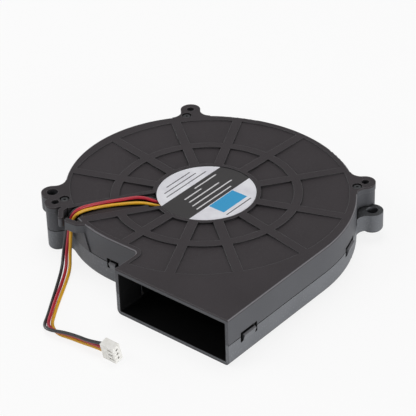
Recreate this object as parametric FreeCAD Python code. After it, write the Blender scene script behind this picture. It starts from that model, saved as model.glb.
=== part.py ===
import FreeCAD, Part
import math
import os
from FreeCAD import Vector

# Thin centrifugal DC blower, lying on its intake side with the label side up.
# Millimetres. The origin is on the rotor axis in the plane of the intake face, +Z is up towards
# the label, the outlet faces -Y and the straight duct wall is on the +X side.

# Housing outline, seen from above
scroll_radius = 61.0
scroll_centre_x = -1.1
scroll_centre_y = -2.75
heel_step = 10.3
heel_angle = 143.0
duct_left_x = 6.2
outlet_y = -60.4
throat_round = 2.2

# Housing heights and walls
housing_height = 20.3
cover_depth = 11.3
side_wall = 1.6
floor_thickness = 1.5
plate_thickness = 2.0
base_round = 2.0
inner_round = 0.9
top_round = 0.6
fit_gap = 0.15
seam_groove_height = 0.3
seam_groove_depth = 0.4

# Intake, its edge a little outside the inner ends of the blades
intake_edge_gap = 0.8
intake_lip_width = 1.6
intake_lip_height = 1.1
intake_round = 0.7

# Pockets in the cover plate: two rings, placed from the label and from the walls
pocket_label_gap = 1.5
pocket_inner_inset = 16.7
pocket_outer_inset = 13.2
pocket_wall_inset = 5.4
pocket_depth_deep = 0.9
pocket_depth_shallow = 0.3
spoke_width = 3.9
spoke_angles = (-93.0, -64.3, -38.3, -10.0, 19.4, 54.3, 86.6, 116.4, 142.8, 171.3, 200.2)
pocket_rim = 2.0

# Wire trough across the cover plate, from under the label to the rim
trough_angle = -124.1
trough_back = 6.4
trough_front = 1.4
trough_depth = 1.1
trough_under_label = 0.5
slot_under_label = 4.9
slot_beyond_label = 4.5
wire_slot_back = 5.4
wire_slot_front = 3.4
ramp_length = 2.6
ramp_drop = 2.6
ramp_pad_length = 5.0
ramp_pad_depth = 3.6

# Label
label_radius = 19.5
label_gap = 0.3
label_recess_depth = 0.35
label_thickness = 0.15

# Bosses, ears and posts: angle about the centre of their wall, and distance out of that wall
left_boss_place = (233.17, 4.64)
left_ear_place = (225.42, 4.97)
left_post_place = (231.54, 0.70)
right_boss_place = (45.09, 4.02)
right_ear_place = (39.04, 6.08)
right_post_place = (42.73, 0.53)
back_boss_place = (133.21, 5.61)
back_post_place = (134.90, 0.77)
boss_radius = 4.1
boss_hole_radius = 1.55
ear_radius = 4.4
ear_hole_radius = 2.25
left_ear_height = 8.0
right_ear_bottom = 3.1
right_ear_above_seam = 2.5
collar_height = 2.7
collar_step = 0.2
lug_round = 1.5
web_round = 4.5
post_radius = 1.0
post_clearance = 0.1
post_head_radius = 1.45
post_head_height = 0.4
post_dimple_radius = 0.55
post_recess_radius = 2.0
post_recess_depth = 0.8

# Snap hooks along the seam: recess in both shells, tab on the lower one
hook_width = 9.5
hook_recess_depth = 1.2
hook_recess_low = 2.4
hook_recess_high = 1.9
hook_tab_side_gap = 1.4
hook_tab_top_gap = 1.2
hook_tab_proud = 0.8
hook_outlet_gap = 11.55
hook_throat_gap = 13.5
hook_front_width = 6.0
hook_scroll_angles = (19.0, 104.0)
hook_heel_angle = 170.0

# Wire clip fingers at the rim of the cover, and the thicker wall under them
clip_height = 4.2
clip_thickness = 2.0
clip_near_places = ((236.46, -0.25), (239.77, 3.87), (244.26, 5.42))
clip_far_places = ((253.89, -0.69), (252.02, 2.02), (247.66, 3.95))
clip_pad_proud = 0.6
clip_pad_start = 234.0
clip_pad_end_high = 253.5
clip_pad_end_low = 258.5

# Impeller
impeller_inset = 8.7
blade_depth = 8.8
blade_count = 41
blade_thickness = 0.9
blade_curve_radius = 7.0
blade_lead_angle = 7.0
hub_radius = 21.0
hub_bottom_z = 3.0
hub_floor = 1.4
hub_round = 1.3
hub_socket_floor = 0.6
back_plate_thickness = 1.2
back_plate_gap = 1.7
tip_ring_width = 1.6
tip_ring_height = 1.2
impeller_floor_gap = 1.9

# Rotor cup and magnet
hub_wall = 1.6
yoke_wall = 0.9
yoke_top_gap = 0.6
magnet_thickness = 1.6
magnet_top_gap = 0.4
magnet_seat = 0.9

# Shaft, bush, spring and clip
shaft_radius = 1.5
shaft_label_gap = 1.05
bush_radius = 3.0
bush_height = 1.9
shaft_seat = 0.3
spring_thickness = 0.14
spring_width = 0.5
spring_clearance = 0.05
clip_groove_depth = 0.2
clip_groove_gap = 0.03
clip_ring_width = 0.9
clip_ring_thickness = 0.3
clip_ring_opening = 60.0

# Ball bearings, 3 x 8 x 3
bearing_outer_radius = 4.0
bearing_width = 3.0
outer_ring_wall = 0.7
inner_ring_wall = 0.6
ball_clearance = 0.05
ball_count = 6
cage_half_width = 0.26
cage_height = 1.1

# Bearing tube and cover hub
tube_wall = 1.0
tube_shoulder = 0.6
tube_flange = 0.8
tube_flange_height = 0.5
tube_end_gap = 0.6
lower_bearing_inset = 0.2
cover_hub_wall = 2.0

# Stator
air_gap = 0.5
core_floor_gap = 2.7
core_board_gap = 2.7
core_hub_wall = 2.2
tooth_count = 4
tooth_width = 4.0
shoe_thickness = 2.2
shoe_half_angle = 38.0
insulator_plate = 0.6
insulator_collar = 1.4
insulator_flange = 0.8
insulator_flange_height = 2.0
insulator_flange_half_angle = 30.0
coil_build = 1.5
coil_side = 2.0
coil_hub_gap = 1.0
coil_end_gap = 0.3
coil_round = 0.9

# Circuit board. Large parts are placed out from the cover's hub and small ones in from the board's
# edge, each by a distance and an angle.
board_gap = 1.6
board_thickness = 1.0
board_inset = 2.0
board_hole_gap = 0.3
chip_size = (5.0, 4.0, 1.2)
chip_place = (3.5, 20.0)
diode_size = (4.2, 2.6, 1.1)
diode_place = (4.5, 75.0)
capacitor_size = (2.0, 1.25, 0.9)
capacitor_places = ((4.9, -20.0), (4.9, -40.0))
resistor_size = (1.6, 0.8, 0.5)
resistor_places = ((4.4, 110.0), (4.4, 125.0), (4.4, 140.0))
hall_size = (1.5, 3.6, 1.5)
hall_magnet_gap = 1.6
hall_angle = 45.0

# Leads and connector
wire_diameter = 1.3
pin_pitch = 2.0
connector_length = 6.2
connector_height = 7.2
connector_thickness = 3.7
connector_entry = (20.4, -82.1)
connector_lean = 12.0
cavity_side = 1.5
cavity_end_wall = 0.8
mating_hole_side = 0.9
terminal_side = 1.2
terminal_seat = 0.2
terminal_end_gap = 0.2
window_length = 2.2
window_width = 0.7
window_depth = 1.15

# Levels and places that follow
heel_radius = scroll_radius - heel_step
duct_wall_x = scroll_centre_x + scroll_radius
impeller_radius = heel_radius - impeller_inset
blade_inner_radius = impeller_radius - blade_depth
intake_radius = blade_inner_radius + intake_edge_gap
label_recess_radius = label_radius + label_gap
wire_slot_start = label_radius - slot_under_label
seam_z = housing_height - cover_depth
right_ear_top = seam_z + right_ear_above_seam
plate_under_z = housing_height - plate_thickness
label_seat_z = housing_height - label_recess_depth
shaft_top_z = label_seat_z - shaft_label_gap
scroll_centre = Vector(scroll_centre_x, scroll_centre_y, 0)
board_top_z = plate_under_z - board_gap
board_bottom_z = board_top_z - board_thickness
back_plate_top_z = plate_under_z - back_plate_gap
back_plate_under_z = back_plate_top_z - back_plate_thickness
yoke_bottom_z = hub_bottom_z + hub_floor
yoke_floor_z = yoke_bottom_z + yoke_wall
yoke_top_z = back_plate_under_z - yoke_top_gap
yoke_radius = hub_radius - hub_wall
board_radius = yoke_radius - board_inset
magnet_outer_radius = yoke_radius - yoke_wall
magnet_inner_radius = magnet_outer_radius - magnet_thickness
core_radius = magnet_inner_radius - air_gap
core_bottom_z = yoke_floor_z + core_floor_gap
core_top_z = board_bottom_z - core_board_gap
tube_radius = bearing_outer_radius + tube_wall
cover_hub_radius = tube_radius + cover_hub_wall
core_hub_radius = tube_radius + core_hub_wall
tube_bottom_z = yoke_floor_z + tube_end_gap
lower_bearing_z = tube_bottom_z + lower_bearing_inset
bush_bottom_z = hub_bottom_z + hub_socket_floor
bush_top_z = bush_bottom_z + bush_height
clip_z = shaft_top_z - 2 * clip_ring_thickness
upper_bearing_z = clip_z - clip_groove_gap - bearing_width


def polar(radius, degrees, z=0.0):
    angle = math.radians(degrees)
    return Vector(radius * math.cos(angle), radius * math.sin(angle), z)


def cylinder(radius, z0, z1, place=(0.0, 0.0)):
    return Part.makeCylinder(radius, z1 - z0, Vector(place[0], place[1], z0))


def ring(outer, inner, z0, z1, place=(0.0, 0.0)):
    return cylinder(outer, z0, z1, place).cut(cylinder(inner, z0, z1, place))


def block(low, high):
    size = [high[i] - low[i] for i in range(3)]
    return Part.makeBox(size[0], size[1], size[2], Vector(*low))


def turned(shape, degrees):
    copy = shape.copy()
    copy.rotate(Vector(0, 0, 0), Vector(0, 0, 1), degrees)
    return copy


def extrude(wire, z0, z1):
    face = Part.Face(wire)
    face.translate(Vector(0, 0, z0))
    return face.extrude(Vector(0, 0, z1 - z0))


def polygon(points):
    corners = [Vector(p[0], p[1], 0) for p in points]
    return Part.makePolygon(corners + corners[:1])


def revolve(points):
    corners = [Vector(p[0], 0, p[1]) for p in points]
    face = Part.Face(Part.makePolygon(corners + corners[:1]))
    return face.revolve(Vector(0, 0, 0), Vector(0, 0, 1), 360)


def merge(shapes):
    return shapes[0].multiFuse(list(shapes[1:])).removeSplitter()


def grown(shell, pieces):
    # Joins the pieces to a shell one by one, which holds for any size of the shell.
    for piece in pieces:
        shell = shell.fuse(piece)
    return shell.removeSplitter()


def arc_through(centre, radius, start, end):
    middle = (start + end) / 2
    points = [centre + polar(radius, a) for a in (start, middle, end)]
    return Part.Arc(*points).toShape()


# Walls, and the lugs and posts beside them
heel_centre = scroll_centre + polar(heel_step, heel_angle)
scroll_wall = (scroll_centre, scroll_radius)
heel_wall = (heel_centre, heel_radius)


def beside(wall, place):
    spot = wall[0] + polar(wall[1] + place[1], place[0])
    return (spot.x, spot.y)


left_boss = beside(heel_wall, left_boss_place)
left_ear = beside(heel_wall, left_ear_place)
left_post = beside(heel_wall, left_post_place)
right_boss = beside(scroll_wall, right_boss_place)
right_ear = beside(scroll_wall, right_ear_place)
right_post = beside(scroll_wall, right_post_place)
back_boss = beside(scroll_wall, back_boss_place)
back_post = beside(scroll_wall, back_post_place)


def heel_reach():
    # Distance from the rotor axis to the outer wall along the trough.
    along = polar(1, trough_angle)
    middle = heel_centre.dot(along)
    across = (heel_centre - along * middle).Length
    return middle + math.sqrt(heel_radius ** 2 - across ** 2)


def outline(inset, front_y):
    # Straight duct wall, large arc, small arc, straight tongue, round throat and short duct wall.
    right_x = duct_wall_x - inset
    left_x = duct_left_x + inset
    big = scroll_radius - inset
    small = heel_radius - inset
    tongue_y = heel_centre.y - small
    throat = throat_round + inset
    corner = Vector(left_x - throat, tongue_y - throat, 0)
    front_right = Vector(right_x, front_y, 0)
    front_left = Vector(left_x, front_y, 0)
    wall_end = Vector(right_x, scroll_centre.y, 0)
    tongue_start = Vector(heel_centre.x, tongue_y, 0)
    edges = [
        Part.makeLine(front_right, wall_end),
        arc_through(scroll_centre, big, 0, heel_angle),
        arc_through(heel_centre, small, heel_angle, 270),
        Part.makeLine(tongue_start, corner + Vector(0, throat, 0)),
        arc_through(corner, throat, 90, 0),
        Part.makeLine(corner + Vector(throat, 0, 0), front_left),
        Part.makeLine(front_left, front_right),
    ]
    return Part.Wire(edges)


def rounded_rim(shape, z, radius):
    # Rounds the long rim edges at one height and leaves the outlet's own edge sharp.
    edges = []
    for edge in shape.Edges:
        box = edge.BoundBox
        level = abs(box.ZMin - z) < 1e-6 and abs(box.ZMax - z) < 1e-6
        at_outlet = box.YMax < outlet_y + 1e-6
        if level and not at_outlet:
            edges.append(edge)
    return shape.makeFillet(radius, edges)


def web(spot, wall, radius, z0, z1):
    # Fills the gap between a boss and its wall with a hollow curve that runs into both.
    centre = Vector(spot[0], spot[1], 0)
    out = centre - wall[0]
    foot_reach = wall[1] + web_round
    share = (foot_reach ** 2 + out.Length ** 2 - (radius + web_round) ** 2) / (2 * foot_reach * out.Length)
    turn = math.degrees(math.acos(share))
    heading = math.degrees(math.atan2(out.y, out.x))
    root = wall[1] - side_wall / 2
    feet = [wall[0] + polar(foot_reach, heading + side * turn) for side in (-1, 1)]
    roots = [wall[0] + polar(root, heading + side * turn) for side in (-1, 1)]
    body = extrude(polygon([centre, feet[0], roots[0], roots[1], feet[1]]), z0, z1)
    for foot in feet:
        body = body.cut(cylinder(web_round, z0, z1, foot))
    return body


def lug(spot, wall, radius, z0, z1):
    return cylinder(radius, z0, z1, spot).fuse(web(spot, wall, radius, z0, z1))


def rounded_lug(spot, wall, radius, z0, z1):
    # A lug with a rounded lower end; its web starts above the rounding.
    boss = cylinder(radius, z0, z1, spot)
    low_edges = [edge for edge in boss.Edges if edge.BoundBox.ZMax < z0 + 1e-6]
    boss = boss.makeFillet(lug_round, low_edges)
    return boss.fuse(web(spot, wall, radius, z0 + lug_round, z1))


def strip(points, width, z0, z1):
    parts = []
    for start, end in zip(points, points[1:]):
        first = Vector(start[0], start[1], 0)
        last = Vector(end[0], end[1], 0)
        along = (last - first).normalize()
        side = Vector(-along.y, along.x, 0) * (width / 2)
        parts.append(extrude(polygon([first + side, last + side, last - side, first - side]), z0, z1))
    parts += [cylinder(width / 2, z0, z1, p) for p in points]
    return merge(parts)


def clip_finger(places):
    points = [beside(heel_wall, place) for place in places]
    return strip(points, clip_thickness, housing_height - clip_height, housing_height)


def clip_pad():
    # Thicker wall under the clip; its edge slants down along the seam to the front.
    low = seam_z
    high = housing_height - clip_height / 2
    reach = heel_radius + clip_pad_proud
    inner = heel_radius - side_wall
    outer = reach + side_wall
    layers = []
    for z, end in ((low, clip_pad_end_low), (high, clip_pad_end_high)):
        angles = (clip_pad_start, (clip_pad_start + end) / 2, end)
        corners = [heel_centre + polar(inner, a, z) for a in angles]
        corners += [heel_centre + polar(outer, a, z) for a in reversed(angles)]
        layers.append(Part.makePolygon(corners + corners[:1]))
    body = Part.makeLoft(layers, True, True)
    return body.common(cylinder(reach, low, high, heel_centre))


def along_trough(start, end, back, front, z0, z1):
    shape = block((start, -back, z0), (end, front, z1))
    return turned(shape, trough_angle)


# Snap hooks: each is built at the duct wall, at y = 0, and moved to its place.
def hook_places():
    places = [(Vector(duct_wall_x, outlet_y + hook_outlet_gap, 0), 0.0, hook_width)]
    for angle in hook_scroll_angles:
        places.append((scroll_centre + polar(scroll_radius, angle), angle, hook_width))
    places.append((heel_centre + polar(heel_radius, hook_heel_angle), hook_heel_angle, hook_width))
    tongue = Vector(duct_left_x - hook_throat_gap, heel_centre.y - heel_radius, 0)
    places.append((tongue, 270.0, hook_front_width))
    return places


def at_hook(shape, place, angle):
    moved = turned(shape, angle)
    moved.translate(place)
    return moved


def hook_recess(width):
    low = seam_z - hook_recess_low
    high = seam_z + hook_recess_high
    return block((-hook_recess_depth, -width / 2, low), (hook_width, width / 2, high))


def hook_tab(width):
    # A bar with a sloping nose that stands a little proud of the wall.
    half = width / 2 - hook_tab_side_gap
    low = seam_z - hook_recess_low
    high = seam_z + hook_recess_high - hook_tab_top_gap
    back = -hook_recess_depth + fit_gap
    profile = [
        Vector(-hook_recess_depth, 0, low),
        Vector(0, 0, low),
        Vector(hook_tab_proud, 0, seam_z),
        Vector(hook_tab_proud, 0, high - hook_tab_proud / 2),
        Vector(0, 0, high),
        Vector(back, 0, high),
        Vector(back, 0, seam_z),
        Vector(-hook_recess_depth, 0, seam_z),
    ]
    face = Part.Face(Part.makePolygon(profile + profile[:1]))
    face.translate(Vector(0, -half, 0))
    return face.extrude(Vector(0, 2 * half, 0))


# Lower shell
def make_bottom_housing():
    shell = rounded_rim(extrude(outline(0, outlet_y), 0, seam_z), 0, base_round)
    shank = boss_radius - collar_step
    lugs = [
        rounded_lug(left_boss, heel_wall, shank, 0, seam_z),
        rounded_lug(back_boss, scroll_wall, shank, 0, seam_z),
        rounded_lug(right_boss, scroll_wall, shank, 0, right_ear_top),
        rounded_lug(right_ear, scroll_wall, ear_radius, right_ear_bottom, right_ear_top),
    ]
    cover_space = extrude(outline(-fit_gap, outlet_y - 1), seam_z, housing_height)
    lugs = [shape.cut(cover_space) for shape in lugs]
    shell = grown(shell, lugs)
    cavity = extrude(outline(side_wall, outlet_y - side_wall), floor_thickness, seam_z + side_wall)
    cavity = rounded_rim(cavity, floor_thickness, inner_round)
    shell = shell.cut(cavity)
    lip_radius = intake_radius + intake_lip_width
    lip_top = floor_thickness + intake_lip_height
    shell = shell.fuse(ring(lip_radius, intake_radius, floor_thickness / 2, lip_top))
    shell = shell.cut(cylinder(intake_radius, -1, lip_top + 1))
    mouth = [
        (intake_radius - 1, -1),
        (intake_radius + intake_round + 1, -1),
        (intake_radius - 1, intake_round + 1),
    ]
    shell = shell.cut(revolve(mouth))
    for place in (left_boss, back_boss, right_boss):
        shell = shell.cut(cylinder(boss_hole_radius, -1, right_ear_top + 1, place))
    shell = shell.cut(cylinder(ear_hole_radius, 0, right_ear_top + 1, right_ear))
    for place, angle, width in hook_places():
        shell = shell.cut(at_hook(hook_recess(width), place, angle))
        shell = shell.fuse(at_hook(hook_tab(width), place, angle))
    for place in (left_post, back_post, right_post):
        shell = shell.fuse(make_post(place))
    return shell.removeSplitter()


def make_post(place):
    # A staked post: its head lies in a round recess of the cover.
    recess_z = housing_height - post_recess_depth
    head_top = recess_z + post_head_height
    post = cylinder(post_radius, seam_z - 1, recess_z, place)
    head = cylinder(post_head_radius, recess_z, head_top, place)
    dimple = cylinder(post_dimple_radius, recess_z, head_top, place)
    return post.fuse(head.cut(dimple))


# Upper shell
def make_top_cover():
    shell = rounded_rim(extrude(outline(0, outlet_y), seam_z, housing_height), housing_height, top_round)
    ear_bottom = housing_height - left_ear_height
    collar_z = housing_height - collar_height
    shank = boss_radius - collar_step
    lugs = [
        lug(left_boss, heel_wall, shank, seam_z, collar_z),
        lug(left_boss, heel_wall, boss_radius, collar_z, housing_height),
        lug(back_boss, scroll_wall, shank, seam_z, collar_z),
        lug(back_boss, scroll_wall, boss_radius, collar_z, housing_height),
        lug(right_boss, scroll_wall, shank, right_ear_top, collar_z),
        lug(right_boss, scroll_wall, boss_radius, collar_z, housing_height),
        rounded_lug(left_ear, heel_wall, ear_radius, ear_bottom, housing_height),
    ]
    clips = [clip_finger(clip_near_places), clip_finger(clip_far_places), clip_pad()]
    shell = grown(shell, lugs + clips)
    around = cylinder(2 * scroll_radius, seam_z, seam_z + seam_groove_height)
    shell = shell.cut(around.cut(extrude(outline(seam_groove_depth, outlet_y), seam_z, right_ear_top)))
    cavity = extrude(outline(side_wall, outlet_y - side_wall), seam_z - side_wall, plate_under_z)
    pad_start = heel_reach() - ramp_pad_length
    pad = along_trough(pad_start, heel_reach() + 1, trough_back + 1, trough_front + 1,
                       plate_under_z - ramp_pad_depth, plate_under_z)
    shell = shell.cut(cavity.cut(pad))
    shell = shell.fuse(cylinder(cover_hub_radius, board_top_z, plate_under_z))
    shell = shell.cut(pockets())
    shell = shell.cut(cylinder(label_recess_radius, label_seat_z, housing_height + 1))
    shell = shell.cut(trough())
    shell = shell.cut(cylinder(tube_radius, board_top_z - 1, housing_height))
    flange_seat = label_seat_z - tube_flange_height - fit_gap
    shell = shell.cut(cylinder(tube_radius + tube_flange, flange_seat, housing_height))
    for place in (left_boss, back_boss, right_boss):
        shell = shell.cut(cylinder(boss_hole_radius, seam_z - 1, housing_height + 1, place))
    shell = shell.cut(cylinder(ear_hole_radius, seam_z, housing_height + 1, left_ear))
    for place in (left_post, back_post, right_post):
        recess_z = housing_height - post_recess_depth
        shell = shell.cut(cylinder(post_radius + post_clearance, seam_z - 1, recess_z, place))
        shell = shell.cut(cylinder(post_recess_radius, recess_z, housing_height + 1, place))
    for place, angle, width in hook_places():
        shell = shell.cut(at_hook(hook_recess(width), place, angle))
    return shell.removeSplitter()


def pockets():
    top = housing_height + 1
    deep = housing_height - pocket_depth_deep
    shallow = housing_height - pocket_depth_shallow
    middle = (deep + shallow) / 2
    inner = (label_recess_radius + pocket_label_gap, heel_radius - pocket_inner_inset)
    outer = (heel_radius - pocket_outer_inset, scroll_radius - pocket_wall_inset)
    rings = [
        revolve([(inner[0], deep), (inner[1], middle), (inner[1], top), (inner[0], top)]),
        revolve([(outer[0], middle), (outer[1], shallow), (outer[1], top), (outer[0], top)]),
    ]
    half = spoke_width / 2
    bars = [turned(block((0, -half, 0), (scroll_radius, half, top)), a) for a in spoke_angles]
    front = trough_front + spoke_width
    bars.append(along_trough(0, scroll_radius, trough_back + half, front, 0, top))
    inside = extrude(outline(pocket_rim, outlet_y + pocket_rim), 0, top)
    cuts = [shape.cut(merge(bars)).common(inside) for shape in rings]
    return Part.makeCompound(cuts)


def trough():
    # Open channel for the leads, with a slot beside the label and a ramp over the rim.
    bottom = housing_height - trough_depth
    reach = heel_reach()
    channel = along_trough(label_radius - trough_under_label, reach + side_wall, trough_back, trough_front,
                           bottom, housing_height + 1)
    slot_end = label_radius + slot_beyond_label
    slot = along_trough(wire_slot_start, slot_end, wire_slot_back, wire_slot_front,
                        plate_under_z - 1, housing_height + 1)
    far = reach + side_wall * 2
    drop = ramp_drop * (far - reach + ramp_length) / ramp_length
    wedge = [
        Vector(reach - ramp_length, -trough_back, bottom),
        Vector(far, -trough_back, bottom),
        Vector(far, -trough_back, bottom - drop),
    ]
    face = Part.Face(Part.makePolygon(wedge + wedge[:1]))
    ramp = turned(face.extrude(Vector(0, trough_back + trough_front, 0)), trough_angle)
    return merge([channel, slot, ramp])


def make_label():
    return cylinder(label_radius, label_seat_z, label_seat_z + label_thickness)


# Impeller, one moulding
def make_blade(z0, z1):
    # Forward-curved blade: an arc band whose tip leads in the clockwise sense.
    root = polar(blade_inner_radius, 0)
    tip = polar(impeller_radius - blade_thickness / 2, -blade_lead_angle)
    chord = tip - root
    half = chord.Length / 2
    rise = math.sqrt(blade_curve_radius ** 2 - half ** 2)
    across = Vector(chord.y, -chord.x, 0).normalize()
    centre = root + chord * 0.5 + across * rise
    start = math.degrees(math.atan2(root.y - centre.y, root.x - centre.x))
    end = math.degrees(math.atan2(tip.y - centre.y, tip.x - centre.x))
    inner = blade_curve_radius - blade_thickness / 2
    outer = blade_curve_radius + blade_thickness / 2
    edges = [
        arc_through(centre, inner, start, end),
        Part.makeLine(centre + polar(inner, end), centre + polar(outer, end)),
        arc_through(centre, outer, end, start),
        Part.makeLine(centre + polar(outer, start), centre + polar(inner, start)),
    ]
    return extrude(Part.Wire(edges), z0, z1)


def make_impeller():
    profile = [
        (0, hub_bottom_z),
        (hub_radius - hub_round, hub_bottom_z),
        (hub_radius, hub_bottom_z + hub_round),
        (hub_radius, back_plate_under_z),
        (impeller_radius, back_plate_under_z),
        (impeller_radius, back_plate_top_z),
        (yoke_radius, back_plate_top_z),
        (yoke_radius, yoke_bottom_z),
        (bush_radius, yoke_bottom_z),
        (bush_radius, bush_bottom_z),
        (0, bush_bottom_z),
    ]
    ring_bottom = floor_thickness + impeller_floor_gap
    ring_top = ring_bottom + tip_ring_height
    tip_ring = ring(impeller_radius, impeller_radius - tip_ring_width, ring_bottom, ring_top)
    overlap = back_plate_thickness / 2
    blade = make_blade(ring_bottom, back_plate_under_z + overlap)
    blade = blade.common(cylinder(impeller_radius, 0, housing_height))
    step = 360.0 / blade_count
    blades = [turned(blade, i * step) for i in range(blade_count)]
    return merge([revolve(profile), tip_ring] + blades)


# Rotor parts
def make_rotor_yoke():
    profile = [
        (bush_radius, yoke_bottom_z),
        (yoke_radius, yoke_bottom_z),
        (yoke_radius, yoke_top_z),
        (yoke_radius - yoke_wall, yoke_top_z),
        (yoke_radius - yoke_wall, yoke_floor_z),
        (bush_radius, yoke_floor_z),
    ]
    return revolve(profile)


def make_magnet_ring():
    low = yoke_floor_z + magnet_seat
    return ring(magnet_outer_radius, magnet_inner_radius, low, yoke_top_z - magnet_top_gap)


def make_rotor_bush():
    bush = cylinder(bush_radius, bush_bottom_z, bush_top_z)
    return bush.cut(cylinder(shaft_radius, bush_bottom_z + shaft_seat, bush_top_z))


def make_shaft():
    shaft = cylinder(shaft_radius, bush_bottom_z + shaft_seat, shaft_top_z)
    shaft = shaft.makeChamfer(clip_groove_depth, [shaft.Edges[0]])
    groove = ring(shaft_radius + 1, shaft_radius - clip_groove_depth, clip_z, clip_z + clip_ring_thickness)
    return shaft.cut(groove)


def make_retaining_clip():
    inner = shaft_radius - clip_groove_depth
    outer = inner + clip_ring_width
    clip = ring(outer, inner, clip_z, clip_z + clip_ring_thickness)
    half = math.radians(clip_ring_opening / 2)
    reach = 2 * outer
    opening = polygon([(0, 0), (reach, reach * math.tan(half)), (reach, -reach * math.tan(half))])
    return clip.cut(extrude(opening, clip_z - 1, clip_z + 1))


def make_preload_spring():
    # Curved washer between the bush and the lower inner ring: a bent band with a round outline.
    gap = lower_bearing_z - bush_top_z
    inner = shaft_radius + spring_clearance
    outer = inner + spring_width
    rise = gap - spring_thickness
    bend = (outer ** 2 + rise ** 2) / (2 * rise)
    centre = Vector(0, -outer, bush_top_z + gap - bend)
    axis = Vector(0, 1, 0)
    skin = Part.makeCylinder(bend, 2 * outer, centre, axis)
    core = Part.makeCylinder(bend - spring_thickness, 2 * outer, centre, axis)
    return skin.cut(core).common(ring(outer, inner, bush_top_z, lower_bearing_z))


# Ball bearings
def inner_ring_radius():
    return shaft_radius + inner_ring_wall


def race_middle():
    return (bearing_outer_radius - outer_ring_wall + inner_ring_radius()) / 2


def ball_radius():
    gap = bearing_outer_radius - outer_ring_wall - inner_ring_radius()
    return gap / 2 - ball_clearance


def ball_places(z0):
    step = 360.0 / ball_count
    return [polar(race_middle(), i * step, z0 + bearing_width / 2) for i in range(ball_count)]


def make_outer_ring(z0):
    return ring(bearing_outer_radius, bearing_outer_radius - outer_ring_wall, z0, z0 + bearing_width)


def make_inner_ring(z0):
    return ring(inner_ring_radius(), shaft_radius, z0, z0 + bearing_width)


def make_balls(z0):
    return Part.makeCompound([Part.makeSphere(ball_radius(), p) for p in ball_places(z0)])


def make_cage(z0):
    middle = z0 + bearing_width / 2
    low = middle - ball_radius() / 2
    cage = ring(race_middle() + cage_half_width, race_middle() - cage_half_width, low, low + cage_height)
    pocket = ball_radius() + ball_clearance
    for place in ball_places(z0):
        cage = cage.cut(Part.makeSphere(pocket, place))
    return cage


def make_bearing_tube():
    flange_z = label_seat_z - tube_flange_height - fit_gap
    tube = cylinder(tube_radius, tube_bottom_z, flange_z)
    tube = tube.fuse(cylinder(tube_radius + tube_flange, flange_z, flange_z + tube_flange_height))
    top = flange_z + tube_flange_height
    tube = tube.cut(cylinder(bearing_outer_radius, tube_bottom_z - 1, lower_bearing_z + bearing_width))
    tube = tube.cut(cylinder(bearing_outer_radius, upper_bearing_z, top + 1))
    tube = tube.cut(cylinder(bearing_outer_radius - tube_shoulder, tube_bottom_z, top))
    return tube.removeSplitter()


# Stator
def sector(radius, half_angle, z0, z1):
    face_points = [Vector(0, 0, 0), polar(radius, -half_angle), polar(radius, half_angle)]
    edges = [
        Part.makeLine(face_points[0], face_points[1]),
        arc_through(Vector(0, 0, 0), radius, -half_angle, half_angle),
        Part.makeLine(face_points[2], face_points[0]),
    ]
    return extrude(Part.Wire(edges), z0, z1)


def core_plan(z0, z1):
    shoe_inner = core_radius - shoe_thickness
    half = tooth_width / 2
    shoe = sector(core_radius, shoe_half_angle, z0, z1).cut(cylinder(shoe_inner, z0, z1))
    neck = block((core_hub_radius / 2, -half, z0), (shoe_inner + shoe_thickness / 2, half, z1))
    step = 360.0 / tooth_count
    parts = [cylinder(core_hub_radius, z0, z1)]
    for i in range(tooth_count):
        parts.append(turned(shoe, i * step))
        parts.append(turned(neck, i * step))
    return merge(parts).cut(cylinder(tube_radius, z0, z1))


def make_stator_core():
    return core_plan(core_bottom_z, core_top_z)


def make_insulator(face_z, direction, collar_end):
    z0 = face_z
    plate_z = face_z + direction * insulator_plate
    flange_z = plate_z + direction * insulator_flange_height
    parts = [core_plan(min(z0, plate_z), max(z0, plate_z))]
    low, high = min(z0, collar_end), max(z0, collar_end)
    parts.append(ring(tube_radius + insulator_collar, tube_radius, low, high))
    low, high = min(z0, flange_z), max(z0, flange_z)
    inner = core_radius - shoe_thickness
    wall = sector(inner + insulator_flange, insulator_flange_half_angle, low, high)
    wall = wall.cut(cylinder(inner, low, high))
    step = 360.0 / tooth_count
    parts += [turned(wall, i * step) for i in range(tooth_count)]
    return merge(parts)


def make_windings():
    half = tooth_width / 2
    start = core_hub_radius + coil_hub_gap
    end = core_radius - shoe_thickness - coil_end_gap
    low = core_bottom_z - insulator_plate
    high = core_top_z + insulator_plate
    coil = block((start, -half - coil_side, low - coil_build), (end, half + coil_side, high + coil_build))
    along = [e for e in coil.Edges if abs(e.BoundBox.XLength - (end - start)) < 1e-6]
    coil = coil.makeFillet(coil_round, along)
    coil = coil.cut(block((start - 1, -half, low), (end + 1, half, high)))
    coil = coil.common(cylinder(end, low - coil_build, high + coil_build))
    step = 360.0 / tooth_count
    return Part.makeCompound([turned(coil, i * step) for i in range(tooth_count)])


# Circuit board and what is on it
def on_board(size, place, z0):
    low = (place[0] - size[0] / 2, -size[1] / 2, z0)
    high = (place[0] + size[0] / 2, size[1] / 2, z0 + size[2])
    return turned(block(low, high), place[1])


def make_board():
    return ring(board_radius, tube_radius + board_hole_gap, board_bottom_z, board_top_z)


def make_hall_sensor():
    place = (magnet_inner_radius - hall_magnet_gap, hall_angle)
    return on_board(hall_size, place, board_bottom_z - hall_size[2])


def make_beside_hub(size, place):
    return on_board(size, (cover_hub_radius + place[0], place[1]), board_top_z)


def make_near_edge(size, places):
    spots = [(board_radius - place[0], place[1]) for place in places]
    return Part.makeCompound([on_board(size, spot, board_top_z) for spot in spots])


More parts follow.
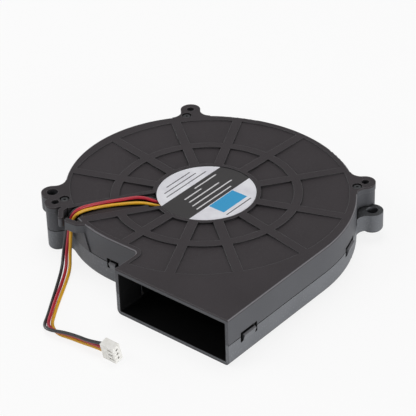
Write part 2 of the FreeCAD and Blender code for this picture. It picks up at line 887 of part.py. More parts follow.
# Leads: a tube of straight runs joined by tangent arcs
arc_share = 0.45
wire_points = {
    "wire_black": [
        (-9.9, -11.4, 17.45), (-13.9, -14.8, 19.3), (-18.4, -18.5, 20.2), (-23.3, -24.8, 19.95),
        (-28.1, -31.7, 19.95), (-32.7, -39.3, 20.5), (-34.2, -42.5, 17.4), (-34.1, -44.2, 11.4),
        (-33.0, -47.7, 5.1), (-29.5, -52.6, 1.1), (-23.4, -61.9, 0.7), (-17.5, -71.0, 0.7),
        (-12.5, -78.5, 0.8), (-8.9, -84.5, 1.2), (-3.9, -86.2, 2.6), (1.8, -84.8, 3.5),
        (8.2, -83.9, 3.9), (14.2, -84.1, 4.6), (20.45, -83.27, 5.85),
    ],
    "wire_red": [
        (-8.2, -12.5, 17.45), (-12.3, -16.2, 19.4), (-17.3, -18.6, 21.2), (-22.6, -25.5, 21.1),
        (-27.4, -32.2, 21.1), (-31.5, -40.0, 21.1), (-32.9, -43.15, 17.4), (-32.6, -44.6, 11.4),
        (-31.4, -47.8, 4.9), (-28.0, -51.8, 1.0), (-22.1, -61.1, 0.8), (-16.45, -70.35, 1.35),
        (-11.6, -77.7, 1.5), (-8.1, -83.2, 1.4), (-3.3, -85.0, 1.9), (2.6, -83.6, 2.2),
        (8.8, -82.9, 2.6), (14.6, -83.1, 3.1), (20.45, -82.85, 3.9),
    ],
    "wire_yellow": [
        (-6.6, -13.7, 17.45), (-10.0, -18.1, 19.35), (-15.2, -20.4, 20.2), (-21.4, -26.0, 19.95),
        (-26.8, -32.6, 19.95), (-30.2, -40.6, 20.5), (-31.5, -43.8, 17.3), (-31.1, -45.0, 11.4),
        (-29.8, -47.5, 4.8), (-26.4, -51.4, 0.9), (-20.9, -60.3, 0.7), (-15.4, -69.7, 0.7),
        (-10.9, -76.8, 0.7), (-7.3, -81.9, 0.7), (-2.0, -84.3, 0.7), (3.3, -83.3, 0.7),
        (9.6, -82.9, 1.0), (15.2, -82.5, 1.6), (20.45, -82.45, 1.95),
    ],
}


def wire_tube(name, points):
    nodes = [Vector(*p) for p in points]
    edges = []
    radii = []
    length = 0.0
    cursor = nodes[0]
    for before, corner, after in zip(nodes, nodes[1:], nodes[2:]):
        into = corner - before
        out = after - corner
        half_turn = into.getAngle(out) / 2
        reach = arc_share * min(into.Length, out.Length)
        radius = reach / math.tan(half_turn)
        u_in = Vector(into).normalize()
        u_out = Vector(out).normalize()
        start = corner - u_in * reach
        end = corner + u_out * reach
        inward = (u_out - u_in).normalize()
        middle = corner + inward * (radius / math.cos(half_turn) - radius)
        edges.append(Part.LineSegment(cursor, start).toShape())
        edges.append(Part.Arc(start, middle, end).toShape())
        radii.append(radius)
        cursor = end
    edges.append(Part.LineSegment(cursor, nodes[-1]).toShape())
    path = Part.Wire(edges)
    heading = (nodes[1] - nodes[0]).normalize()
    circle = Part.Circle(nodes[0], heading, wire_diameter / 2)
    tube = path.makePipeShell([Part.Wire(circle.toShape())], True, False, 1)
    section = math.pi * wire_diameter ** 2 / 4
    print(name, "length", round(path.Length, 1), "least radius", round(min(radii), 2),
          "radii", [round(r, 1) for r in radii],
          "volume ratio", round(tube.Volume / (section * path.Length), 4))
    return tube


# Connector, standing on its narrow side and leaning a little to the front
def lean(shape):
    drop = connector_thickness / 2 * math.sin(math.radians(connector_lean))
    shape.rotate(Vector(0, connector_entry[1], 0), Vector(1, 0, 0), connector_lean)
    shape.translate(Vector(0, 0, drop))
    return shape


def pin_heights():
    middle = connector_height / 2
    return [middle + pin_pitch, middle, middle - pin_pitch]


def terminal_cavity(z, side, x0, x1):
    y0 = connector_entry[1]
    return block((x0, y0 - side / 2, z - side / 2), (x1, y0 + side / 2, z + side / 2))


def make_connector_housing():
    x0, y0 = connector_entry
    half = connector_thickness / 2
    x1 = x0 + connector_length
    body = block((x0, y0 - half, 0), (x1, y0 + half, connector_height))
    end = x1 - cavity_end_wall
    for z in pin_heights():
        body = body.cut(terminal_cavity(z, cavity_side, x0 - 1, end))
        body = body.cut(terminal_cavity(z, mating_hole_side, x0, x1 + 1))
        low = (end - window_length, y0 - half - 1, z - window_width / 2)
        high = (end, y0 - half + window_depth, z + window_width / 2)
        body = body.cut(block(low, high))
    return lean(body)


def make_connector_terminals():
    x0 = connector_entry[0] + terminal_seat
    x1 = connector_entry[0] + connector_length - cavity_end_wall - terminal_end_gap
    pins = []
    for z in pin_heights():
        pin = terminal_cavity(z, terminal_side, x0, x1)
        bore = terminal_cavity(z, terminal_side / 2, (x0 + x1) / 2, x1 + 1)
        pins.append(lean(pin.cut(bore)))
    return Part.makeCompound(pins)


def build():
    parts = {
        "bottom_housing": make_bottom_housing(),
        "top_cover": make_top_cover(),
        "rating_label": make_label(),
        "impeller": make_impeller(),
        "rotor_yoke": make_rotor_yoke(),
        "magnet_ring": make_magnet_ring(),
        "rotor_bush": make_rotor_bush(),
        "motor_shaft": make_shaft(),
        "retaining_clip": make_retaining_clip(),
        "preload_spring": make_preload_spring(),
        "bearing_tube": make_bearing_tube(),
        "stator_core": make_stator_core(),
        "upper_insulator": make_insulator(core_top_z, 1, board_bottom_z),
        "lower_insulator": make_insulator(core_bottom_z, -1, core_bottom_z - insulator_collar),
        "stator_windings": make_windings(),
        "circuit_board": make_board(),
        "driver_chip": make_beside_hub(chip_size, chip_place),
        "board_diode": make_beside_hub(diode_size, diode_place),
        "board_capacitors": make_near_edge(capacitor_size, capacitor_places),
        "board_resistors": make_near_edge(resistor_size, resistor_places),
        "hall_sensor": make_hall_sensor(),
        "connector_housing": make_connector_housing(),
        "connector_terminals": make_connector_terminals(),
    }
    for side, z0 in (("lower", lower_bearing_z), ("upper", upper_bearing_z)):
        parts[side + "_bearing_outer_ring"] = make_outer_ring(z0)
        parts[side + "_bearing_inner_ring"] = make_inner_ring(z0)
        parts[side + "_bearing_balls"] = make_balls(z0)
        parts[side + "_bearing_cage"] = make_cage(z0)
    for name, points in wire_points.items():
        parts[name] = wire_tube(name, points)
    return parts


os.makedirs("parts", exist_ok=True)
for node, shape in build().items():
    shape.exportStep("parts/" + node + ".step")
    print(node, "solids", len(shape.Solids), "valid", shape.isValid(), "volume", round(shape.Volume, 1))
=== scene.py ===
# %% [markdown]
# # A thin radial cooling fan
# The fan is a flat, snail-shaped box of black moulded plastic, about 120 mm across and 20 mm
# high. Air enters through a round mouth underneath and leaves through the rectangular outlet at
# the front. A small motor sits inside the hub, and its three leads leave beside the label and end
# in a white connector. The solids come from the imported frame in metres. This lesson gives them
# their finishes and adds what solids show badly: limp leads, rounded moulded edges that are pale
# partly from wear and partly as a painted highlight, painted light and shade on the plastic, and
# the print on the label.

# %% Load the frame and bake its placement into the meshes
import math

import bpy
from mathutils import Matrix, Vector


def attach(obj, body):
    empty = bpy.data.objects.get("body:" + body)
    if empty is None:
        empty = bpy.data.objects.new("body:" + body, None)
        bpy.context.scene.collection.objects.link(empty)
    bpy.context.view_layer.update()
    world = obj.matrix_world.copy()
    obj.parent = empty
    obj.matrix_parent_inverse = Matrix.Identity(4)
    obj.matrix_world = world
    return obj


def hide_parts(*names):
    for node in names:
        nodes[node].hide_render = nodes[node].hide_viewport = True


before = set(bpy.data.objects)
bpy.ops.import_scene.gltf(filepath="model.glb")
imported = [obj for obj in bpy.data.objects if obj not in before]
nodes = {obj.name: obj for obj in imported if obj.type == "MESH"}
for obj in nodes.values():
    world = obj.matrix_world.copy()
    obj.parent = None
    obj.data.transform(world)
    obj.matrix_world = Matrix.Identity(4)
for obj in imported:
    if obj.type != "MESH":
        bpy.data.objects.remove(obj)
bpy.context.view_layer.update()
bpy.ops.object.select_all(action="DESELECT")
print("solids in the frame:", len(nodes))

# %% [markdown]
# ## Two helpers
# Colours are chosen as sRGB hex values, as a designer would name them, but shaders work in linear
# light, so one function converts them. A second function adds a node, sets it up and links its
# inputs, which keeps every material below short enough to read as a recipe. In both lists that it
# takes, a pair starts with the name or number of an input socket.


# %% Colour and node helpers
def linear(code):
    channels = [int(code[i:i + 2], 16) / 255 for i in (1, 3, 5)]
    curve = [c / 12.92 if c <= 0.04045 else ((c + 0.055) / 1.055) ** 2.4 for c in channels]
    return (*curve, 1.0)


def add_node(tree, kind, links=(), values=(), **settings):
    node = tree.nodes.new("ShaderNode" + kind)
    for name, value in settings.items():
        setattr(node, name, value)
    for socket, value in values:
        node.inputs[socket].default_value = value
    for socket, source in links:
        tree.links.new(source, node.inputs[socket])
    return node


print("mid grey in linear light:", round(linear("#808080")[0], 3))

# %% [markdown]
# ## Starting a material
# Nearly every finish here is one Principled surface whose colour, roughness and relief vary a
# little. The first function makes the surface and hands back its node tree, so that each recipe
# only adds what is particular to it. The others mix two colours, make a noise whose grain is given
# in metres, stretch one range of values to another, and turn a pattern into relief. The pattern
# coordinates are Object coordinates: metres, fixed to the part. Noise stays near its middle value,
# so its middle range is what gets stretched to a full change of tone.


# %% Start a finish
factor_socket, first_socket, second_socket, result_socket = 0, 6, 7, 2
noise_range = (0.3, 0.7)


def start_finish(name, **constants):
    material = bpy.data.materials.new(name)
    material.use_nodes = True
    tree = material.node_tree
    surface = tree.nodes["Principled BSDF"]
    for socket, value in constants.items():
        surface.inputs[socket.replace("_", " ")].default_value = value
    place = add_node(tree, "TexCoord").outputs["Object"]
    return material, tree, surface, place


def mixed(tree, factor, first, second):
    mix = add_node(tree, "Mix", data_type="RGBA")
    for socket, value in ((factor_socket, factor), (first_socket, first), (second_socket, second)):
        if isinstance(value, bpy.types.NodeSocket):
            tree.links.new(value, mix.inputs[socket])
        else:
            mix.inputs[socket].default_value = value
    return mix.outputs[result_socket]


def noise(tree, place, grain, detail=2.0):
    settings = [("Scale", 1 / grain), ("Detail", detail)]
    return add_node(tree, "TexNoise", [("Vector", place)], settings).outputs["Fac"]


def stretched(tree, value, low, high, to_low=0.0, to_high=1.0):
    limits = [("From Min", low), ("From Max", high), ("To Min", to_low), ("To Max", to_high)]
    return add_node(tree, "MapRange", [("Value", value)], limits).outputs["Result"]


def relief(tree, surface, height, strength, depth, normal=()):
    bump = add_node(tree, "Bump", [("Height", height), *normal],
                    [("Strength", strength), ("Distance", depth)])
    tree.links.new(bump.outputs["Normal"], surface.inputs["Normal"])


print("noise from", noise_range[0], "to", noise_range[1], "is stretched to a full change of tone")

# %% [markdown]
# ## Masks
# A mask is a number from 0 to 1 that says where one colour takes over from another. Two masks
# multiplied hold only where both do. A rectangle is two Compare nodes, each true within half a
# width of its centre.


# %% Masks
def product(tree, first, second):
    return add_node(tree, "Math", [(0, first), (1, second)], operation="MULTIPLY").outputs[0]


def rectangle(tree, axes, centre, half):
    sides = []
    for axis, middle, reach in zip(axes, centre, half):
        limits = [(1, middle), (2, reach)]
        sides.append(add_node(tree, "Math", [(0, axis)], limits, operation="COMPARE").outputs[0])
    return product(tree, *sides)


print("masks: product and rectangle")

# %% [markdown]
# ## Moulded black PBT
# Both shells are injection-moulded polyester (PBT) filled with glass fibre. The steel mould was
# spark-eroded, which leaves a fine orange-peel texture that scatters light, so the plastic looks
# dark grey and not black. The texture is about 0.1 mm across in reality. It is drawn at 0.35 mm,
# so that it shows, and the lower shell's at 0.6 mm, because it is coarser.
#
# The upright walls below the plate get a paler tone of their own, found by the surface normal and
# by the height: painted light, standing for the bright surroundings that they reflect. The rounded
# rim of the plate gets a painted highlight. Edges turn a little paler, partly from wear in handling
# and partly as a painted highlight, which a comparison of the true normal with a rounded one finds.
# Tight inner corners and deep hollows get painted shade, which an Ambient Occlusion node finds. The
# inside of the duct is painted deep black, as shade.

# %% Where the moulded surface changes
# The upright walls below the plate level get a paler tone: painted light, standing for the bright
# surroundings they reflect.
plate_level, wall_blend = 0.0196, 0.0001
# The rounded rim of the plate, between upright wall and flat top, gets a painted highlight.
wall_lean, rim_lean_low, rim_lean_high = (0.85, 0.35), (0.15, 0.35), (0.97, 0.88)
# The inside of the duct, found by this box and the end below, gets painted shade.
duct_centre, duct_half = (0.03305, 0.0099), (0.0254, 0.0085)
duct_end, duct_blend = -0.02, 0.01
# Edges get a pale line, partly wear and partly a painted highlight; the rounded normal also softens
# them.
edge_radius, edge_match = 0.00035, (0.995, 0.88)


# Where the paler painted wall light goes: upright faces below the plate.
def painted_wall_light_mask(tree, normal, spot):
    lean = add_node(tree, "Math", [(0, normal.outputs["Z"])], operation="ABSOLUTE")
    upright = stretched(tree, lean.outputs[0], *wall_lean)
    below_plate = stretched(tree, spot.outputs["Z"], plate_level, plate_level - wall_blend)
    return product(tree, upright, below_plate)


# Where the painted highlight goes: the rounded rim, neither upright nor flat.
def rim_highlight_mask(tree, normal, strength):
    not_upright = stretched(tree, normal.outputs["Z"], *rim_lean_low)
    not_flat = stretched(tree, normal.outputs["Z"], *rim_lean_high, 0.0, strength)
    return product(tree, not_upright, not_flat)


# Where the painted shade inside the duct goes.
def duct_shade_mask(tree, spot):
    mouth = rectangle(tree, (spot.outputs["X"], spot.outputs["Z"]), duct_centre, duct_half)
    return product(tree, mouth, stretched(tree, spot.outputs["Y"], duct_end, duct_end - duct_blend))


# Where the pale edge line goes, partly wear and partly a painted highlight: where the true normal
# leaves a rounded one.
def edge_wear_and_highlight_mask(tree, rounded, strength):
    sharp = add_node(tree, "NewGeometry").outputs["Normal"]
    same = add_node(tree, "VectorMath", [(0, rounded), (1, sharp)], operation="DOT_PRODUCT")
    return stretched(tree, same.outputs["Value"], *edge_match, 0.0, strength)


# Painted shade, darker where Ambient Occlusion finds a spot closed in.
def shade_mask(tree, reach, open_share, strength):
    shade = add_node(tree, "AmbientOcclusion", values=[("Distance", reach)], samples=6)
    return stretched(tree, shade.outputs["AO"], *open_share, 0.0, strength)


print("duct masked from y =", duct_end, "to the outlet")

# %% [markdown]
# ## Layers of the plastic
# Each layer below is a mask and the colour that it lets in, from the pale glass fibres at the
# surface to the painted shade inside the duct. A corner is looked at within about 2 mm and a hollow
# within 30 mm, and a pair such as (0.82, 0.48) says how open a spot has to be to stay clear of the
# painted shade and how closed to be fully in it. A slow cloud of tone, 18 mm across, keeps the
# large faces alive.

# %% Shell plastic
cloud_grain, texture_depth = 0.018, 0.00006
fibre_range, gloss_range = (0.58, 0.72), (0.46, 0.56)
# Tight corners and deep hollows within these reaches get painted shade, the first two blacks below.
corner_reach, corner_open, corner_strength = 0.0022, (0.82, 0.48), 0.92
hollow_reach, hollow_open, hollow_strength = 0.03, (0.34, 0.12), 0.8
# The rim strength and rim grey make the painted highlight on the rounded rim.
rim_highlight_strength = 0.7
# The rubbed grey is partly wear and partly a painted highlight on the edges.
fibre_grey, rubbed_and_highlight_grey, rim_highlight_grey = "#9a9da0", "#8a8b8d", "#7c7b7f"
# The last of these three blacks is painted shade inside the duct.
corner_shade_black, hollow_shade_black, duct_shade_black = "#0b0a0b", "#050505", "#0a0a0b"


# The rub argument sets the pale edge line, partly wear and partly a painted highlight.
def moulded_plastic(name, flat_tones, lit_wall_tones, grain, speckle, rub_and_sheen):
    material, tree, surface, place = start_finish(
        name, Roughness=0.5, IOR=1.5, Specular_IOR_Level=0.25)
    fine = noise(tree, place, grain)
    cloud = noise(tree, place, cloud_grain, 3.0)
    tone = stretched(tree, cloud, *noise_range)
    spot = add_node(tree, "SeparateXYZ", [("Vector", place)])
    object_normal = add_node(tree, "TexCoord").outputs["Normal"]
    normal = add_node(tree, "SeparateXYZ", [("Vector", object_normal)])
    rounded = add_node(tree, "Bevel", values=[("Radius", edge_radius)], samples=4).outputs["Normal"]
    base, lit_wall_part = (mixed(tree, tone, linear(dark), linear(light))
                       for dark, light in (flat_tones, lit_wall_tones))
    # The upright walls take the paler tones, painted light for what they reflect from the side.
    base = mixed(tree, painted_wall_light_mask(tree, normal, spot), base, lit_wall_part)
    layers = [
        (stretched(tree, fine, *fibre_range, 0.0, speckle), fibre_grey),
        # Pale edge line: partly wear, partly a painted highlight.
        (edge_wear_and_highlight_mask(tree, rounded, rub_and_sheen), rubbed_and_highlight_grey),
        # Painted highlight on the rounded rim of the plate.
        (rim_highlight_mask(tree, normal, rim_highlight_strength), rim_highlight_grey),
        # Painted shade in tight corners and in deep hollows.
        (shade_mask(tree, corner_reach, corner_open, corner_strength), corner_shade_black),
        (shade_mask(tree, hollow_reach, hollow_open, hollow_strength), hollow_shade_black),
        # Painted shade inside the duct.
        (duct_shade_mask(tree, spot), duct_shade_black),
    ]
    for mask, colour in layers:
        base = mixed(tree, mask, base, linear(colour))
    tree.links.new(base, surface.inputs["Base Color"])
    gloss = stretched(tree, cloud, *noise_range, *gloss_range)
    tree.links.new(gloss, surface.inputs["Roughness"])
    relief(tree, surface, fine, 0.35, texture_depth, [("Normal", rounded)])
    return material


# In each call the second pair of tones is the paler painted light on the upright walls.
cover_plastic = moulded_plastic(
    "pbt_cover_fine_texture", ("#302b2e", "#363134"), ("#4a4b4f", "#525357"),
    grain=0.00035, speckle=0.08, rub_and_sheen=0.40)
base_plastic = moulded_plastic(
    "pbt_base_coarse_texture", ("#3a3b3d", "#424345"), ("#616367", "#6d6f73"),
    grain=0.0006, speckle=0.30, rub_and_sheen=0.40)
rotor_plastic = moulded_plastic(
    "pbt_impeller_smooth", ("#242426", "#2b2b2d"), ("#262628", "#2c2c2e"),
    grain=0.0004, speckle=0.03, rub_and_sheen=0.15)
for plastic in (cover_plastic, base_plastic, rotor_plastic):
    print(plastic.name, "has", len(plastic.node_tree.nodes), "nodes")

# %% [markdown]
# ## Label film
# The label is white polyester film, printed black and blue. Here it says nothing: the black band
# and the white film keep thin blank rules where lines of print would be, and the blue field is
# bare. Each printed area is a rectangle in the label's own plane, so the print stays sharp at any
# size. A rule is given by its x, the y of its middle and half its length, in millimetres.

# %% Label print
millimetre = 0.001
beyond_label = 0.03
band_x, band_half = -0.00055, 0.00715
field_centre, field_half = (0.0106, 0.0003), (0.0037, 0.0072)
band_rules = [
    (4.6, -1.0, 10.5), (1.9, 1.2, 12.0), (-0.8, -0.4, 9.0), (-3.5, -4.0, 5.0), (-5.6, 6.0, 6.5),
]
film_rules = [(-10.2, 0.0, 12.0), (-12.6, -1.0, 9.5), (-14.9, 0.5, 7.0), (16.2, 0.0, 7.5)]


def printed_film():
    material, tree, surface, place = start_finish("polyester_label_print", Roughness=0.32, IOR=1.55)
    spot = add_node(tree, "SeparateXYZ", [("Vector", place)])
    axes = (spot.outputs["X"], spot.outputs["Y"])
    cloud = stretched(tree, noise(tree, place, 0.006), 0.35, 0.65)
    colour = mixed(tree, cloud, linear("#dcdbe2"), linear("#e9e9ee"))
    band = rectangle(tree, axes, (band_x, 0.0), (band_half, beyond_label))
    colour = mixed(tree, band, colour, linear("#2f2d2e"))
    field = rectangle(tree, axes, field_centre, field_half)
    colour = mixed(tree, field, colour, linear("#2b9cd0"))
    printed = ((band_rules, "#d9d8da", 0.0003), (film_rules, "#4c4b4f", 0.00025))
    for rules, ink, half_width in printed:
        for x, y, half_length in rules:
            rule = rectangle(tree, axes, (x * millimetre, y * millimetre),
                             (half_width, half_length * millimetre))
            colour = mixed(tree, rule, colour, linear(ink))
    tree.links.new(colour, surface.inputs["Base Color"])
    relief(tree, surface, noise(tree, place, 0.0012), 0.08, 0.00005)
    return material


label_film = printed_film()
print("label print:", len(band_rules) + len(film_rules), "rules, one band, one field")

# %% [markdown]
# ## PVC leads
# The leads are stranded copper in soft PVC. It is extruded, so it is smooth and a little glossy,
# with faint waves about a millimetre long and a handled look from fingers and dust.


# %% Lead insulation
def pvc(name, colour, worn):
    material, tree, surface, place = start_finish(name, Roughness=0.36, IOR=1.53)
    tone = stretched(tree, noise(tree, place, 0.004, 3.0), *noise_range)
    tree.links.new(mixed(tree, tone, linear(colour), linear(worn)), surface.inputs["Base Color"])
    tree.links.new(stretched(tree, tone, 0.0, 1.0, 0.3, 0.44), surface.inputs["Roughness"])
    relief(tree, surface, noise(tree, place, 0.0009), 0.15, 0.00004)
    return material


lead_finish = {
    "wire_black": pvc("pvc_lead_black", "#232123", "#2f2d2e"),
    "wire_red": pvc("pvc_lead_red", "#b3162d", "#a01a30"),
    "wire_yellow": pvc("pvc_lead_yellow", "#dfa613", "#d09c1c"),
}
print("lead colours:", sorted(lead_finish))

# %% [markdown]
# ## The camera
# The picture was taken from the front right, 41 degrees round from the outlet and 33 degrees
# above the floor, with a long lens from about three quarters of a metre. The camera is placed by
# those angles, so its direction has a meaning that can be checked.

# %% Camera
azimuth, elevation, roll = (math.radians(angle) for angle in (40.684, 32.917, -1.964))
distance = 0.7492
shift_up = 0.01088
lens_mm = 164.0

backward = Vector((math.sin(azimuth) * math.cos(elevation),
                   -math.cos(azimuth) * math.cos(elevation),
                   math.sin(elevation)))
level = Vector((math.cos(azimuth), math.sin(azimuth), 0))
steep = backward.cross(level)
right = level * math.cos(roll) + steep * math.sin(roll)
up = steep * math.cos(roll) - level * math.sin(roll)
bpy.ops.object.camera_add()
camera = bpy.context.object
camera.name = "camera"
stand = backward * distance + up * shift_up
turn = Matrix((right, up, backward)).transposed().to_4x4()
camera.matrix_world = Matrix.Translation(stand) @ turn
camera.data.lens = lens_mm
camera.data.clip_start = 0.01
bpy.context.scene.camera = camera
print("camera at", [round(v, 3) for v in stand])

# %% [markdown]
# ## The leads
# A lead is a limp tube of fixed length. It comes out of the slot under the label, lies in its
# trough, goes over the rim between the two clip fingers, falls to the floor and runs to the
# connector. It is drawn as one smooth NURBS curve with a round bevel, and its control points are
# the points of the solid's route, so it cuts a little inside the route's corners.

# %% Lead routes
lead_diameter = 0.0013
lead_route = {
    "wire_black": [
        (-0.0099, -0.0114, 0.01745), (-0.0139, -0.0148, 0.0193), (-0.0184, -0.0185, 0.0202),
        (-0.0233, -0.0248, 0.01995), (-0.0281, -0.0317, 0.01995), (-0.0327, -0.0393, 0.0205),
        (-0.0342, -0.0425, 0.0174), (-0.0341, -0.0442, 0.0114), (-0.033, -0.0477, 0.0051),
        (-0.0295, -0.0526, 0.0011), (-0.0234, -0.0619, 0.0007), (-0.0175, -0.071, 0.0007),
        (-0.0125, -0.0785, 0.0008), (-0.0089, -0.0845, 0.0012), (-0.0039, -0.0862, 0.0026),
        (0.0018, -0.0848, 0.0035), (0.0082, -0.0839, 0.0039), (0.0142, -0.0841, 0.0046),
        (0.02045, -0.08327, 0.00585),
    ],
    "wire_red": [
        (-0.0082, -0.0125, 0.01745), (-0.0123, -0.0162, 0.0194), (-0.0173, -0.0186, 0.0212),
        (-0.0226, -0.0255, 0.0211), (-0.0274, -0.0322, 0.0211), (-0.0315, -0.04, 0.0211),
        (-0.0329, -0.04315, 0.0174), (-0.0326, -0.0446, 0.0114), (-0.0314, -0.0478, 0.0049),
        (-0.028, -0.0518, 0.001), (-0.0221, -0.0611, 0.0008), (-0.01645, -0.07035, 0.00135),
        (-0.0116, -0.0777, 0.0015), (-0.0081, -0.0832, 0.0014), (-0.0033, -0.085, 0.0019),
        (0.0026, -0.0836, 0.0022), (0.0088, -0.0829, 0.0026), (0.0146, -0.0831, 0.0031),
        (0.02045, -0.08285, 0.0039),
    ],
    "wire_yellow": [
        (-0.0066, -0.0137, 0.01745), (-0.01, -0.0181, 0.01935), (-0.0152, -0.0204, 0.0202),
        (-0.0214, -0.026, 0.01995), (-0.0268, -0.0326, 0.01995), (-0.0302, -0.0406, 0.0205),
        (-0.0315, -0.0438, 0.0173), (-0.0311, -0.045, 0.0114), (-0.0298, -0.0475, 0.0048),
        (-0.0264, -0.0514, 0.0009), (-0.0209, -0.0603, 0.0007), (-0.0154, -0.0697, 0.0007),
        (-0.0109, -0.0768, 0.0007), (-0.0073, -0.0819, 0.0007), (-0.002, -0.0843, 0.0007),
        (0.0033, -0.0833, 0.0007), (0.0096, -0.0829, 0.001), (0.0152, -0.0825, 0.0016),
        (0.02045, -0.08245, 0.00195),
    ],
}
print("leads:", {node: len(points) for node, points in lead_route.items()}, "control points")


# %% Draw the leads
def draw_lead(node, points):
    curve = bpy.data.curves.new(node + "_lead", "CURVE")
    curve.dimensions = "3D"
    spline = curve.splines.new("NURBS")
    spline.points.add(len(points) - 1)
    for control, point in zip(spline.points, points):
        control.co = (*point, 1.0)
    spline.order_u = 3
    spline.use_endpoint_u = True
    spline.resolution_u = 8
    curve.bevel_depth = lead_diameter / 2
    curve.bevel_resolution = 5
    curve.use_fill_caps = True
    curve.materials.append(lead_finish[node])
    lead = bpy.data.objects.new(node + "_lead", curve)
    bpy.context.collection.objects.link(lead)
    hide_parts(node)
    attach(lead, "housing")


for node, points in lead_route.items():
    draw_lead(node, points)

# %% [markdown]
# ## Finishes of the hidden and small parts
# The motor and its bearings can be seen only from below or in section, but each still gets the
# finish of its real metal. The last numbers of a metal are its roughness and its grain in metres.
# Turned and drawn parts have their grain squeezed along Z, so that it runs round them, and so has
# the core, whose laminations lie flat.


# %% Metals
def metal(name, colour, second, roughness, grain, stretch=(1, 1, 1)):
    material, tree, surface, place = start_finish(name, Metallic=1.0)
    turned = add_node(tree, "Mapping", [("Vector", place)], [("Scale", stretch)])
    pattern = noise(tree, turned.outputs["Vector"], grain, 4.0)
    tone = stretched(tree, pattern, *noise_range)
    tree.links.new(mixed(tree, tone, linear(colour), linear(second)), surface.inputs["Base Color"])
    rough = stretched(tree, pattern, *noise_range, roughness * 0.8, roughness * 1.25)
    tree.links.new(rough, surface.inputs["Roughness"])
    relief(tree, surface, pattern, 0.1, 0.00002)
    return material


around, stacked = (1, 1, 25), (1, 1, 10)
finish = {
    "rotor_yoke": metal("zinc_plated_steel", "#9b9c9c", "#adafb0", 0.34, 0.003),
    "rotor_bush": metal("turned_brass", "#b8924a", "#c8a45c", 0.25, 0.002, around),
    "bearing_tube": metal("drawn_brass", "#b08c48", "#c09a54", 0.3, 0.003, around),
    "motor_shaft": metal("ground_steel", "#b4b5b7", "#c2c3c4", 0.16, 0.002, around),
    "retaining_clip": metal("blackened_spring_steel", "#4a4b4d", "#5b5c5f", 0.38, 0.001),
    "preload_spring": metal("tempered_spring_steel", "#77797d", "#8a8c8f", 0.3, 0.001),
    "stator_core": metal("silicon_steel_laminations", "#6c6e71", "#7d7f82", 0.42, 0.0035, stacked),
    "connector_terminals": metal("tinned_bronze", "#b3b2ac", "#c5c4bf", 0.3, 0.001),
}
race_steel = metal("polished_race_steel", "#b9babd", "#c8c9cb", 0.12, 0.004)
ball_steel = metal("polished_ball_steel", "#c3c4c6", "#cfd0d2", 0.06, 0.004)
cage_steel = metal("pressed_cage_steel", "#9a978e", "#a9a69d", 0.3, 0.001)
for side in ("lower", "upper"):
    finish[side + "_bearing_outer_ring"] = race_steel
    finish[side + "_bearing_inner_ring"] = race_steel
    finish[side + "_bearing_balls"] = ball_steel
    finish[side + "_bearing_cage"] = cage_steel
print("nodes with a metal finish:", len(finish))

# %% [markdown]
# ## Mouldings, ferrite, coils and board
# The insulators and the connector are nylon, the chips are black epoxy, and the magnet ring is
# ferrite powder bound in plastic. Each could be one flat colour, but a noise of about the size of
# its real mottle keeps it from looking painted. The coils are bands of enamelled wire. The wire is
# about 0.3 mm thick and its bands are drawn 0.5 mm apart, so that they show. The board's copper
# areas are Voronoi cells about 2 mm across, under green mask.

# %% Plastics, ferrite, copper and the board
turns_scale, copper_scale = 600.0, 450.0


def solid_finish(name, colour, second, roughness, grain, depth=0.00003):
    material, tree, surface, place = start_finish(name, Roughness=roughness, IOR=1.5)
    pattern = noise(tree, place, grain, 3.0)
    tone = stretched(tree, pattern, *noise_range)
    tree.links.new(mixed(tree, tone, linear(colour), linear(second)), surface.inputs["Base Color"])
    rough = stretched(tree, tone, 0, 1, roughness * 0.9, roughness * 1.1)
    tree.links.new(rough, surface.inputs["Roughness"])
    relief(tree, surface, pattern, 0.2, depth)
    return material


def enamelled_turns(name):
    material, tree, surface, place = start_finish(name, Roughness=0.28, Metallic=0.6)
    settings = [("Scale", turns_scale), ("Distortion", 0.6)]
    turns = add_node(tree, "TexWave", [("Vector", place)], settings, bands_direction="Z")
    tone = turns.outputs["Fac"]
    colour = mixed(tree, tone, linear("#7a3a1c"), linear("#b4602f"))
    tree.links.new(colour, surface.inputs["Base Color"])
    relief(tree, surface, tone, 0.6, 0.0001)
    return material


def masked_board(name):
    material, tree, surface, place = start_finish(name, Roughness=0.35, IOR=1.5, Coat_Weight=0.3)
    cells = add_node(tree, "TexVoronoi", [("Vector", place)], [("Scale", copper_scale)],
                     distance="CHEBYCHEV")
    tracks = stretched(tree, cells.outputs["Distance"], 0.42, 0.5)
    colour = mixed(tree, tracks, linear("#1d5a34"), linear("#2c7a49"))
    tree.links.new(colour, surface.inputs["Base Color"])
    relief(tree, surface, tracks, 0.3, 0.00004)
    return material


nylon = solid_finish("natural_nylon", "#e4e2dc", "#efeeea", 0.42, 0.0016)
epoxy = solid_finish("moulded_epoxy", "#1f2022", "#292a2c", 0.55, 0.0003)
insulator = solid_finish("insulator_nylon", "#cfc6ae", "#d9d1bb", 0.5, 0.002)
finish.update({
    "bottom_housing": base_plastic,
    "top_cover": cover_plastic,
    "impeller": rotor_plastic,
    "rating_label": label_film,
    "magnet_ring": solid_finish("bonded_ferrite", "#2b2a28", "#35332f", 0.7, 0.0005),
    "upper_insulator": insulator,
    "lower_insulator": insulator,
    "stator_windings": enamelled_turns("enamelled_copper"),
    "circuit_board": masked_board("solder_mask_green"),
    "driver_chip": epoxy,
    "board_diode": solid_finish("diode_epoxy", "#252527", "#303033", 0.5, 0.0004),
    "hall_sensor": solid_finish("sensor_epoxy", "#232426", "#2e2f31", 0.6, 0.0004),
    "board_capacitors": solid_finish("fired_ceramic", "#8c6a45", "#a17c54", 0.3, 0.0006),
    "board_resistors": solid_finish("glazed_resistor", "#17181a", "#222326", 0.25, 0.0005),
    "connector_housing": nylon,
})
for node, material in finish.items():
    mesh = nodes[node].data
    mesh.materials.clear()
    mesh.materials.append(material)
print("nodes with their own finish:", len(finish))

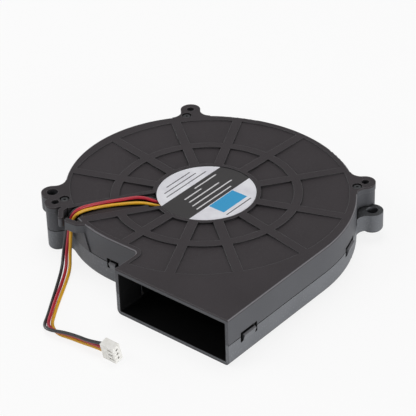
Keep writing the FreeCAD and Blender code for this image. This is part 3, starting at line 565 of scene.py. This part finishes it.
# %% [markdown]
# ## Floor
# The fan lies on a plain white floor. Seen by the camera or in a reflection, most of the floor's
# colour is a plain white glow and the rest is paper that takes light, so a faint contact shadow
# stays. The glow could light the fan from below, so other rays see only the paper.


# %% Floor
def background_rays(tree):
    rays = add_node(tree, "LightPath")
    share = rays.outputs["Is Camera Ray"]
    for kind in ("Is Glossy Ray", "Is Transmission Ray"):
        both = [(0, share), (1, rays.outputs[kind])]
        share = add_node(tree, "Math", both, operation="MAXIMUM").outputs[0]
    return share


floor_width, white_share = 6.0, 0.84
bpy.ops.mesh.primitive_plane_add(size=floor_width)
floor = bpy.context.object
floor.name = "studio_floor"
material = bpy.data.materials.new("white_paper_floor")
material.use_nodes = True
tree = material.node_tree
surface = tree.nodes["Principled BSDF"]
surface.inputs["Base Color"].default_value = linear("#f4f4f4")
surface.inputs["Roughness"].default_value = 0.9
glow = add_node(tree, "Emission", values=[("Strength", 1.0)])
share = add_node(tree, "Math", [(0, background_rays(tree))], [(1, white_share)],
                 operation="MULTIPLY")
shaders = [(0, share.outputs[0]), (1, surface.outputs[0]), (2, glow.outputs[0])]
blend = add_node(tree, "MixShader", shaders)
tree.links.new(blend.outputs[0], tree.nodes["Material Output"].inputs["Surface"])
floor.data.materials.append(material)
print("floor", floor_width, "m wide")

# %% [markdown]
# ## World
# The world is a white backdrop all round under a dim ceiling, so the walls reflect white and the
# plate stays dark. Backdrop and ceiling meet between two heights of the direction looked in, where
# 0 is level and 1 is straight up.

# %% World
world = bpy.data.worlds.new("studio_world")
bpy.context.scene.world = world
world.use_nodes = True
tree = world.node_tree
backdrop_top, ceiling_edge, ceiling_strength = 0.1, 0.45, 0.3
direction = add_node(tree, "TexCoord").outputs["Generated"]
look = add_node(tree, "SeparateXYZ", [("Vector", direction)])
glow = stretched(tree, look.outputs["Z"], backdrop_top, ceiling_edge, 1.0, ceiling_strength)
tree.links.new(glow, tree.nodes["Background"].inputs["Strength"])
tree.nodes["Background"].inputs["Color"].default_value = (1, 1, 1, 1)
print("world: white backdrop under a ceiling at", ceiling_strength)

# %% [markdown]
# ## Lamps
# A large soft lamp hangs overhead, two low ones light the walls from the right and the left, and a
# high one at the front left lights the rim of the outlet without reaching into the duct. Each is
# given by its place, the point that it looks at, its size and its power.


# %% Lamps
def softbox(name, place, target, size, watts):
    bpy.ops.object.light_add(type="AREA", location=place)
    lamp = bpy.context.object
    lamp.name = name
    lamp.data.shape = "RECTANGLE"
    lamp.data.size, lamp.data.size_y = size
    lamp.data.energy = watts
    aim = Vector(target) - Vector(place)
    lamp.rotation_euler = aim.to_track_quat("-Z", "Y").to_euler()


lamps = [
    ("key_overhead", (-0.15, 0.15, 1.0), (0, 0, 0), (0.6, 0.5), 3.6),
    ("side_right_low", (0.97, -0.15, 0.16), (0.02, -0.02, 0.01), (0.5, 0.3), 4.4),
    ("front_left_high", (-0.5, -0.6, 0.75), (0, -0.03, 0.01), (0.4, 0.3), 1.5),
    ("side_left_low", (-0.95, -0.25, 0.16), (-0.03, 0, 0.01), (0.4, 0.25), 2.0),
]
for name, place, target, size, watts in lamps:
    softbox(name, place, target, size, watts)
    print(name, "gives", watts, "W")
bpy.context.scene.view_settings.view_transform = "Standard"
